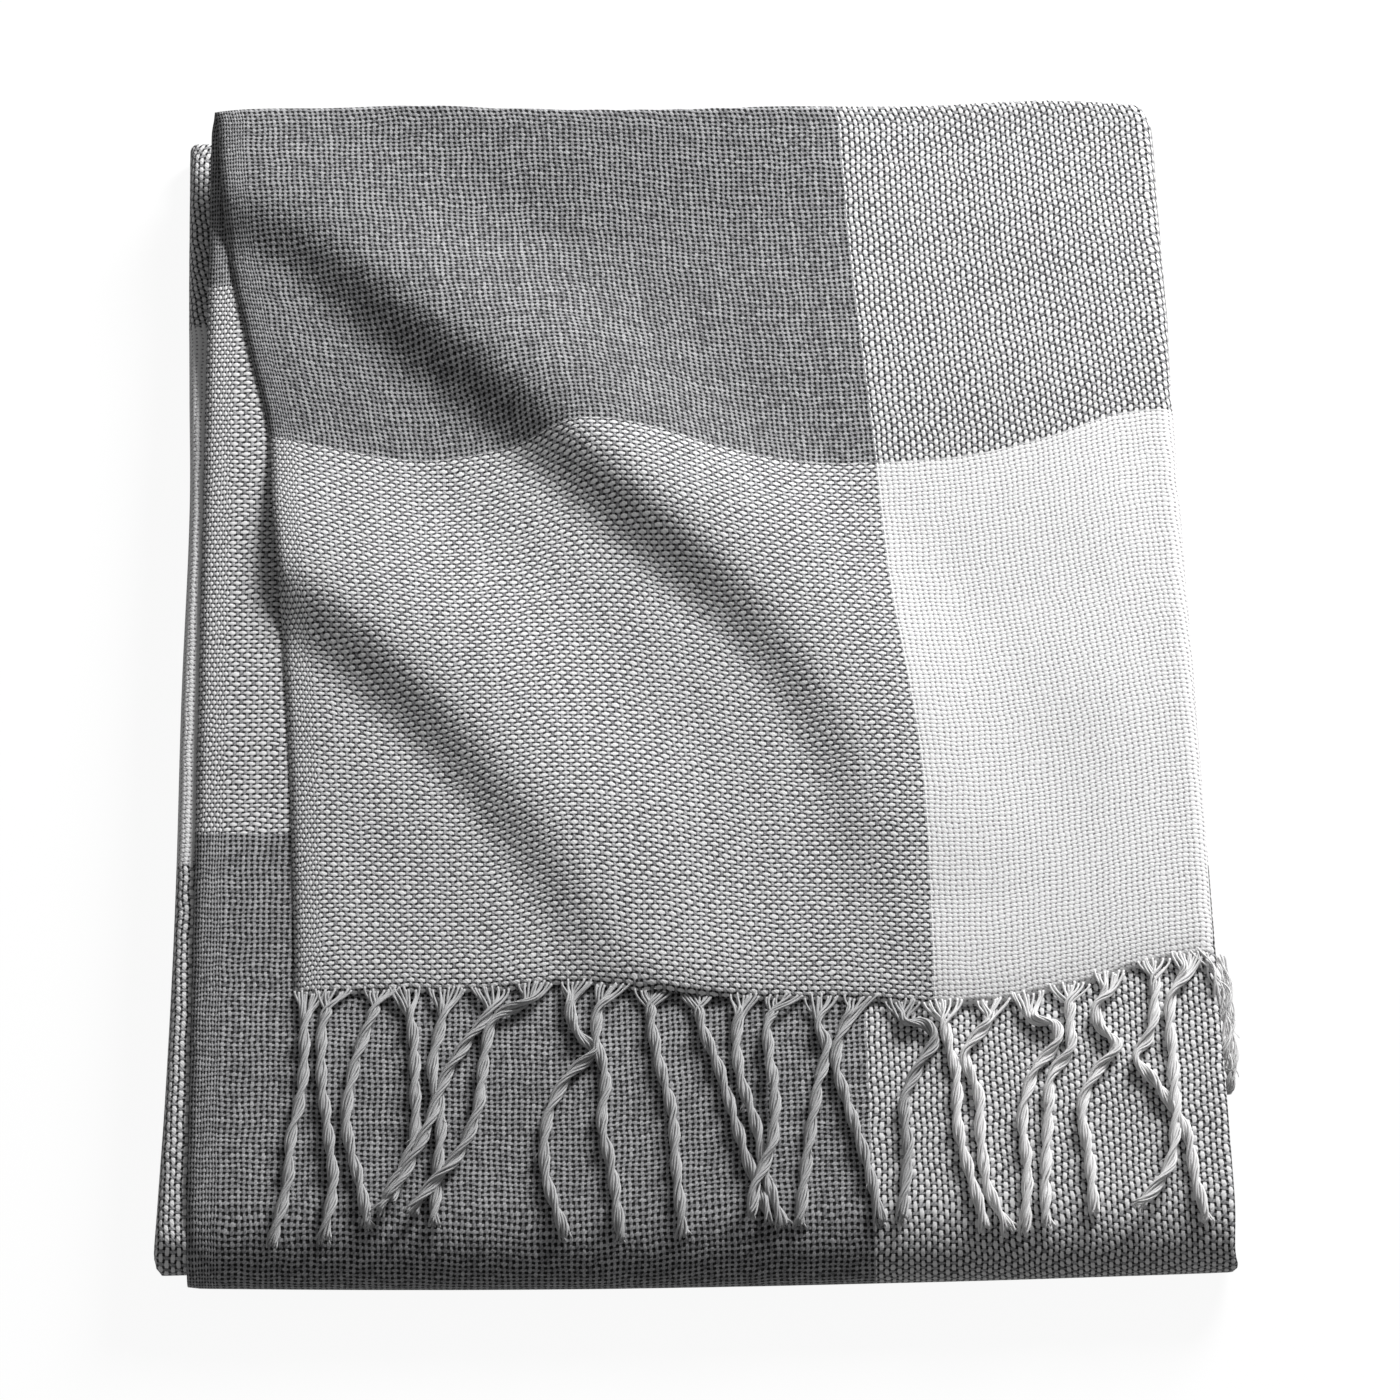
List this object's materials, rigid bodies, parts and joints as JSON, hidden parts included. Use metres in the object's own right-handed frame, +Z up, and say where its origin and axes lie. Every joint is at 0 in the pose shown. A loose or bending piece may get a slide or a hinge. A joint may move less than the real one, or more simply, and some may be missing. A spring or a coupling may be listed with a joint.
{
  "type": "folded throw blanket",
  "caption": "Woven check throw blanket with twisted fringe, folded into a flat pack; its tucked tail unfolds at the front edge.",
  "frame": {"origin": "bottom centre of the folded pack, on the surface it lies on", "axes": "+Z up; +X across the pack towards the folded side; +Y along the pack from the front edge, where the tail is tucked under, to the back edge, where the flap is folded over"},
  "size_m": [0.4936, 0.6966, 0.041],
  "materials": {
    "woven_cloth": "coarse plain weave of soft twisted yarn, large grey and white checks, matte",
    "grey_fringe": "twisted yarn tassels, matte",
    "white_fringe": "twisted yarn tassels, matte"
  },
  "bodies": {
    "tail": {"first_panel_tail": "woven_cloth", "front_fold_first_panel": "woven_cloth", "front_fold_second_panel": "woven_cloth", "front_fold_third_panel": "woven_cloth", "left_fold_tail": "woven_cloth", "right_fold_tail": "woven_cloth", "second_panel_tail": "woven_cloth", "tail_fringe_first_panel": "grey_fringe", "tail_fringe_second_panel": "grey_fringe", "tail_fringe_third_panel": "grey_fringe", "third_panel_tail": "woven_cloth"},
    "folded_pack": {"back_fold_first_panel": "woven_cloth", "back_fold_second_panel": "woven_cloth", "back_fold_third_panel": "woven_cloth", "front_flap": "woven_cloth", "inner_fringe_second_panel": "grey_fringe", "inner_fringe_third_panel": "grey_fringe", "left_fold_inner": "woven_cloth", "left_fold_outer": "woven_cloth", "main_face": "woven_cloth", "right_fold_inner": "woven_cloth", "right_fold_outer": "woven_cloth", "right_fold_tassel_lower": "white_fringe", "right_fold_tassel_upper": "white_fringe", "second_panel_face": "woven_cloth", "second_panel_flap": "woven_cloth", "tassel_01": "grey_fringe", "tassel_02": "grey_fringe", "tassel_03": "grey_fringe", "tassel_04": "grey_fringe", "tassel_05": "grey_fringe", "tassel_06": "grey_fringe", "tassel_07": "grey_fringe", "tassel_08": "grey_fringe", "tassel_09": "grey_fringe", "tassel_10": "grey_fringe", "tassel_11": "grey_fringe", "tassel_12": "grey_fringe", "tassel_13": "grey_fringe", "tassel_14": "grey_fringe", "tassel_15": "grey_fringe", "tassel_16": "grey_fringe", "tassel_17": "white_fringe", "tassel_18": "white_fringe", "tassel_19": "white_fringe", "tassel_20": "white_fringe", "tassel_21": "white_fringe", "tassel_22": "white_fringe", "tassel_23": "white_fringe", "third_panel_face": "woven_cloth", "third_panel_flap": "woven_cloth"}
  },
  "joints": [
    {"name": "tail_unfold", "type": "hinge", "parent": "tail", "child": "folded_pack", "pos_m": [0, -0.3362, 0.0207], "axis": [1, 0, 0], "range_deg": [0, 179.5], "deforming": ["front_fold_first_panel", "front_fold_second_panel", "front_fold_third_panel"]}
  ]
}
